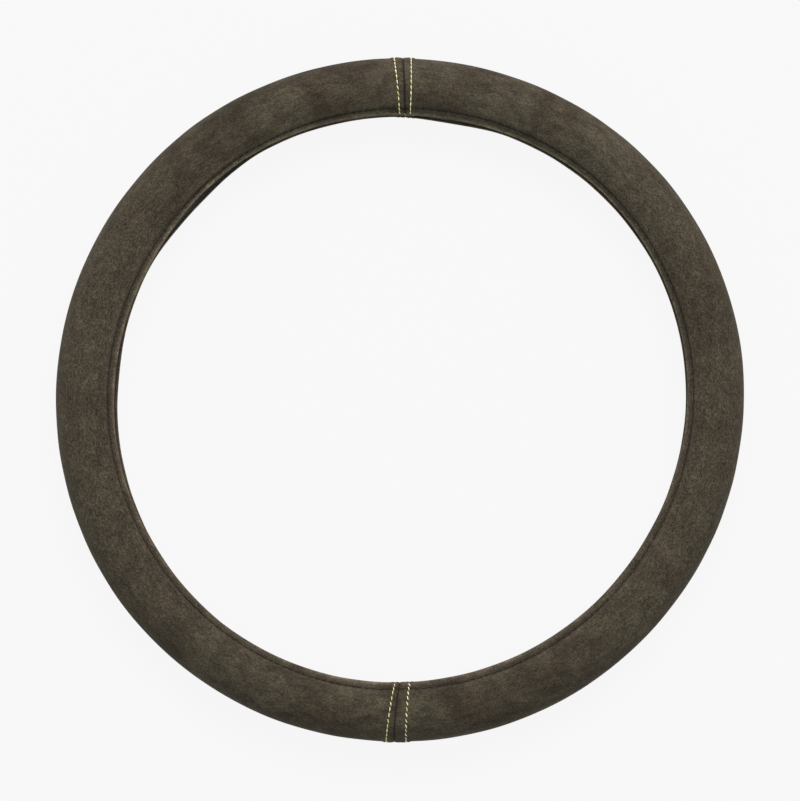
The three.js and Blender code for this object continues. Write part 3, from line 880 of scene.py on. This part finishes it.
from_middle = maths(stitch_tree, "ABSOLUTE", maths(stitch_tree, "SUBTRACT", along, 0.5))
narrowing = maths(stitch_tree, "MULTIPLY", maths(stitch_tree, "POWER", from_middle, 2.0), stitch_in["Taper"])
taper = maths(stitch_tree, "SUBTRACT", 1.0, maths(stitch_tree, "MULTIPLY", narrowing, 4.0))
thread = node(
    stitch_tree, "GeometryNodeCurveToMesh", Curve=arch, Profile_Curve=plied, Scale=taper, Fill_Caps=True
)
thread = node(stitch_tree, "GeometryNodeSetShadeSmooth", Geometry=thread)
vector_attribute = {"data_type": "FLOAT_VECTOR"}
upward = node(stitch_tree, "GeometryNodeInputNamedAttribute", settings=vector_attribute, Name="upward")
onward = node(stitch_tree, "GeometryNodeInputNamedAttribute", settings=vector_attribute, Name="onward")
aim = stitch_tree.nodes.new("FunctionNodeAxesToRotation")
feed(stitch_tree, aim.inputs[0], upward)
feed(stitch_tree, aim.inputs[1], onward)


def random_value(tree, low, high, seed):
    made = tree.nodes.new("FunctionNodeRandomValue")
    made.data_type = "FLOAT"
    feed(tree, made.inputs[2], low)
    feed(tree, made.inputs[3], high)
    feed(tree, made.inputs["Seed"], seed)
    return made.outputs[1]


least = maths(stitch_tree, "MULTIPLY", stitch_in["Unevenness"], -1.0)
wobble = random_value(stitch_tree, least, stitch_in["Unevenness"], stitch_in["Seed"])
slant = stitch_tree.nodes.new("ShaderNodeCombineXYZ")
feed(stitch_tree, slant.inputs["Z"], maths(stitch_tree, "ADD", stitch_in["Slant"], wobble))
turned = node(
    stitch_tree, "FunctionNodeRotateRotation", settings={"rotation_space": "LOCAL"},
    Rotation=aim.outputs[0],
    Rotate_By=node(stitch_tree, "FunctionNodeEulerToRotation", Euler=slant.outputs[0]),
)
other_seed = maths(stitch_tree, "ADD", stitch_in["Seed"], 7.0)
size = maths(stitch_tree, "ADD", 1.0, random_value(stitch_tree, least, stitch_in["Unevenness"], other_seed))
size = maths(stitch_tree, "ADD", maths(stitch_tree, "MULTIPLY", size, 0.5), 0.5)
placed = node(
    stitch_tree, "GeometryNodeInstanceOnPoints",
    Points=stitch_in["Places"], Instance=thread, Rotation=turned, Scale=size,
)
row = node(stitch_tree, "GeometryNodeRealizeInstances", Geometry=placed)
row = node(stitch_tree, "GeometryNodeSetMaterial", Geometry=row, Material=stitch_in["Material"])
stitch_tree.links.new(row, stitch_out["Row"])


def places_on_tube(name, turns, tilts, lifts, turn_step, tilt_step):
    """One point for each stitch, with the suede's outward direction and the row's direction there."""
    middle = tube_point(turns, tilts, lifts)
    upward = tube_point(turns, tilts, lifts + 1) - middle
    onward = tube_point(turns + turn_step, tilts + tilt_step, lifts) - middle
    mesh = bpy.data.meshes.new(name)
    mesh.from_pydata(middle.tolist(), [], [])
    for label, values in (("upward", upward), ("onward", onward)):
        values = values / np.linalg.norm(values, axis=-1, keepdims=True)
        attribute = mesh.attributes.new(label, "FLOAT_VECTOR", "POINT")
        attribute.data.foreach_set("vector", values.astype(np.float32).ravel())
    return mesh


ply_group, ply_in, ply_out = new_tree(
    "thread_fibres",
    [
        ("Vector", "INPUT", "Vector", None),
        ("Scale", "INPUT", "Float", 1500.0),
        ("Height", "OUTPUT", "Float", None),
        ("Shade", "OUTPUT", "Float", None),
    ],
    "ShaderNodeTree",
)
fibres = noise(
    ply_group, ply_in["Vector"], ply_in["Scale"], detail=3.0, roughness=0.65, distortion=0.4
)
ply_group.links.new(fibres, ply_out["Height"])
ply_group.links.new(levels(ply_group, fibres, low=0.35, high=0.65), ply_out["Shade"])


def thread_material(name, dark, light, scale, **values):
    """A thread's material, mottled by noise between a dark and a light colour."""
    material, tree, sockets, where = principled(name, **values)
    made = add_group(tree, ply_group, "ShaderNodeGroup", Vector=where, Scale=scale)
    feed(tree, sockets["Base Color"], mix_colour(tree, made["Shade"], dark, light))
    feed(tree, sockets["Normal"], bump(tree, made["Height"], distance=0.00006, strength=0.7))
    return material


dark_thread = thread_material(
    "dark_thread", (0.012, 0.010, 0.008), (0.034, 0.028, 0.021), 1800.0,
    Roughness=0.75, Specular_IOR_Level=0.25,
)


def near_seam_raise(turns, tilt):
    """How much the allowances raise the lip stitching where it passes a cross seam."""
    raised = np.zeros(len(turns))
    for seam in (TOP_SEAM, BOTTOM_SEAM):
        away = (turns - seam_turn(seam, tilt) + 180) % 360 - 180
        row = np.where(away > 0, row_away(seam, 1, tilt), row_away(seam, -1, tilt))
        away = np.radians(np.abs(away)) * (CENTRE_RADIUS + HALF_WIDTH * math.cos(math.radians(tilt)))
        raised += SEAM_RAISE * allowance_share(away, row)
    return raised


for side, cad_node, seed in ((1, "front_lip_stitching", 3), (-1, "back_lip_stitching", 4)):
    lip_turns = (np.arange(LIP_STITCHES) + 0.5) * 360 / LIP_STITCHES
    lip_tilts = np.full(LIP_STITCHES, side * STITCH_TILT)
    lip_lifts = LIP_THREAD_LIFT + near_seam_raise(lip_turns, side * STITCH_TILT)
    lip_places = places_on_tube(cad_node, lip_turns, lip_tilts, lip_lifts, 0.05, 0)
    lip_row = new_object(cad_node + "_stitches", lip_places)
    run_tree(lip_row, stitch_tree, {
        "Stitch Length": LIP_STITCH_LENGTH / 1000,
        "Thread Radius": LIP_THREAD_RADIUS / 1000,
        "Dive": LIP_STITCH_DIVE / 1000,
        "Segments": 6,
        "Round Points": 6,
        "Plies": 2.0,
        "Ply Depth": 0.12,
        "Twist": 5.0,
        "Slant": 0.0,
        "Unevenness": 0.06,
        "Seed": seed,
        "Material": dark_thread,
    })
    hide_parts(cad_node)
    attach(lip_row, "root")


# The joining threads: the dark thread that sews the two panels together, seen as short stitches down in
# the valley between the folds of each cross seam.
JOINING_THREAD_RADIUS = 0.14
JOINING_STITCH_PITCH = 2.4
JOINING_STITCH_LENGTH = 2.2
JOINING_DIVE = 0.06
JOINING_LIFT = -0.55
JOINING_MARGIN = 2  # from the lips' stitch lines

for seam, cad_node, seed in ((TOP_SEAM, "top_joining_thread", 5), (BOTTOM_SEAM, "bottom_joining_thread", 6)):
    reach = STITCH_TILT - tilt_of(JOINING_MARGIN)
    count = round(2 * reach / tilt_of(JOINING_STITCH_PITCH))
    valley_tilts = np.linspace(-reach, reach, count)
    valley_turns = seam_turn(seam, valley_tilts)
    valley_lifts = np.full(count, JOINING_LIFT)
    valley_places = places_on_tube(cad_node, valley_turns, valley_tilts, valley_lifts, 0, 0.5)
    valley = new_object(cad_node + "_stitches", valley_places)
    run_tree(valley, stitch_tree, {
        "Stitch Length": JOINING_STITCH_LENGTH / 1000,
        "Thread Radius": JOINING_THREAD_RADIUS / 1000,
        "Dive": JOINING_DIVE / 1000,
        "Segments": 6,
        "Round Points": 6,
        "Plies": 2.0,
        "Ply Depth": 0.1,
        "Twist": 4.0,
        "Slant": 0.0,
        "Unevenness": 0.04,
        "Seed": seed,
        "Material": dark_thread,
    })
    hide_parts(cad_node)
    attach(valley, "root")


# The topstitching: thick pale yellow thread in a row on each side of each cross seam, from lip to lip.
# Each stitch is a plied thread that lies a little slanted in its groove and dives at both ends. At the
# top seam two small stitches lie between the rows, at the front lip's edge.
TOPSTITCH_RADIUS = 0.33
TOPSTITCH_LENGTH = 2.95
TOPSTITCH_DIVE = 0.42
TOPSTITCH_LIFT = 0.2
TOPSTITCH_LIFT_ON_LIP_LINE = 0.05
TOPSTITCH_LIFT_UNDERNEATH = -0.5
TOPSTITCH_SHIFT = 0.16
EDGE_MARGIN = 0.8
EDGE_STITCH_PLACES = np.array([-0.22, 0.1])  # from the seam, as shares of its row's distance
EDGE_STITCH_FROM_EDGE = np.array([1.25, 1.9])
EDGE_STITCH_LIFT = -0.28

# The yellow thread's pale cream mottling is partly its own uneven colour and partly painted highlight.
yellow_thread = thread_material(
    "yellow_thread", (0.70, 0.59, 0.15), (1.0, 0.95, 0.64), 420.0,
    Roughness=0.35, Specular_IOR_Level=0.6,
)
band_tilt = EDGE_TILT - STITCH_TILT - tilt_of(EDGE_MARGIN)
stitches_past_lip_line = math.floor(band_tilt / STITCH_STEP - 0.5 + 1e-6)
for seam, way, cad_node, seed in (
    (TOP_SEAM, -1, "top_right_topstitch", 11),
    (TOP_SEAM, 1, "top_left_topstitch", 12),
    (BOTTOM_SEAM, -1, "bottom_left_topstitch", 13),
    (BOTTOM_SEAM, 1, "bottom_right_topstitch", 14),
):
    steps = np.arange(-stitches_past_lip_line, STITCHES_BETWEEN_LIPS + stitches_past_lip_line + 1)
    row_tilts = -STITCH_TILT + steps * STITCH_STEP
    shifts = np.random.default_rng(seed).uniform(-TOPSTITCH_SHIFT, TOPSTITCH_SHIFT, len(steps))
    row_tilts = row_tilts + tilt_of(1) * shifts
    row_turns = seam_turn(seam, row_tilts) + way * turn_of(row_away(seam, way, row_tilts), row_tilts)
    from_seam = row_away(seam, way, row_tilts)
    row_lifts = suede_lift(row_turns, row_tilts, from_seam, from_seam) + TOPSTITCH_LIFT
    on_lip_line = (steps == 0) | (steps == STITCHES_BETWEEN_LIPS)
    row_lifts = np.where(on_lip_line, TOPSTITCH_LIFT_ON_LIP_LINE + seam_raise(row_tilts), row_lifts)
    free = np.clip(beside_flat(row_tilts) * 4, 0, 1)
    row_lifts = free * row_lifts + (1 - free) * TOPSTITCH_LIFT_UNDERNEATH
    turn_steps, tilt_steps = np.zeros(len(steps)), np.full(len(steps), 0.5)
    if cad_node == "top_left_topstitch":
        edge_tilts = EDGE_TILT - tilt_of(1) * EDGE_STITCH_FROM_EDGE
        edge_rows = row_away(seam, way, edge_tilts)
        edge_turns = seam_turn(seam, edge_tilts) + EDGE_STITCH_PLACES * turn_of(edge_rows, edge_tilts)
        from_seam = np.abs(EDGE_STITCH_PLACES) * edge_rows
        edge_lifts = suede_lift(edge_turns, edge_tilts, from_seam, edge_rows) + EDGE_STITCH_LIFT
        row_turns = np.concatenate([row_turns, edge_turns])
        row_tilts = np.concatenate([row_tilts, edge_tilts])
        row_lifts = np.concatenate([row_lifts, edge_lifts])
        turn_steps = np.concatenate([turn_steps, [0.04, -0.03]])
        tilt_steps = np.concatenate([tilt_steps, [0.5, 0.5]])
    row_places = places_on_tube(cad_node, row_turns, row_tilts, row_lifts, turn_steps, tilt_steps)
    row_piece = new_object(cad_node + "_stitches", row_places)
    run_tree(row_piece, stitch_tree, {
        "Stitch Length": TOPSTITCH_LENGTH / 1000,
        "Thread Radius": TOPSTITCH_RADIUS / 1000,
        "Dive": TOPSTITCH_DIVE / 1000,
        "Segments": 8,
        "Round Points": 9,
        "Plies": 3.0,
        "Ply Depth": 0.16,
        "Twist": 4.2,
        "Taper": 0.76,
        "Slant": 0.16 + 0.07 * way,
        "Unevenness": 0.16,
        "Seed": seed,
        "Material": yellow_thread,
    })
    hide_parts(cad_node)
    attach(row_piece, "root")


# The floor: a pale light table. It glows evenly, so that the cover throws hardly any shadow on it.
FLOOR_HALF = 3.0
FLOOR_HEIGHT = -0.0001
FLOOR_GLOW = 0.905
floor_mesh = bpy.data.meshes.new("floor")
floor_corners = [
    (x * FLOOR_HALF, y * FLOOR_HALF, FLOOR_HEIGHT) for x, y in ((-1, -1), (1, -1), (1, 1), (-1, 1))
]
floor_mesh.from_pydata(floor_corners, [], [(0, 1, 2, 3)])
floor = new_object("floor", floor_mesh)
floor_paint, tree, sockets, where = principled("light_table", Roughness=0.9, Specular_IOR_Level=0.0)
sockets["Base Color"].default_value = (0.03, 0.03, 0.03, 1)
sockets["Emission Color"].default_value = (1, 1, 1, 1)
sockets["Emission Strength"].default_value = FLOOR_GLOW
floor_mesh.materials.append(floor_paint)


# The light: one large soft lamp beyond the top seam, a little warm and turned down towards the ring, in a
# bright even room whose light is a little green.
ROOM_LIGHT = 0.55
world = bpy.data.worlds.new("bright_room")
world.use_nodes = True
world.node_tree.nodes["Background"].inputs["Color"].default_value = (0.9, 1, 0.95, 1)
world.node_tree.nodes["Background"].inputs["Strength"].default_value = ROOM_LIGHT
bpy.context.scene.world = world
lamp = bpy.data.lights.new("soft_light", "AREA")
lamp.shape = "RECTANGLE"
lamp.size = 3.2
lamp.size_y = 2.0
lamp.energy = 177
lamp.color = (1, 0.96, 0.94)
soft_light = bpy.data.objects.new("soft_light", lamp)
bpy.context.scene.collection.objects.link(soft_light)
soft_light.location = (0.5, 2.6, 3.4)
soft_light.rotation_euler = (Vector((0, 0, 0)) - soft_light.location).to_track_quat("-Z", "Y").to_euler()


# The camera: far above the cover and a few degrees off its axis, towards the lower right, as the photo
# shows it, with the frame's width fitted to the ring.
CAMERA_DISTANCE = 8.0
CAMERA_LEAN = 3.0
CAMERA_LEAN_TOWARDS = 298
FRAME_WIDTH = 0.44896
FRAME_MIDDLE = Vector((0.00031, -0.00070, -REST_LEVEL / 1000))
lean, towards = math.radians(CAMERA_LEAN), math.radians(CAMERA_LEAN_TOWARDS)
back = Vector((math.sin(lean) * math.cos(towards), math.sin(lean) * math.sin(towards), math.cos(lean)))
right = Vector((0, 1, 0)).cross(back).normalized()
up = back.cross(right)
camera_data = bpy.data.cameras.new("camera")
camera_data.sensor_width = 36
camera_data.lens = CAMERA_DISTANCE / FRAME_WIDTH * camera_data.sensor_width
camera_data.clip_end = 100
camera = bpy.data.objects.new("camera", camera_data)
bpy.context.scene.collection.objects.link(camera)
camera_turn = Matrix((right, up, back)).transposed().to_4x4()
camera.matrix_world = Matrix.Translation(FRAME_MIDDLE + back * CAMERA_DISTANCE) @ camera_turn
bpy.context.scene.camera = camera
bpy.context.scene.view_settings.view_transform = "Standard"
bpy.context.scene.view_settings.look = "None"
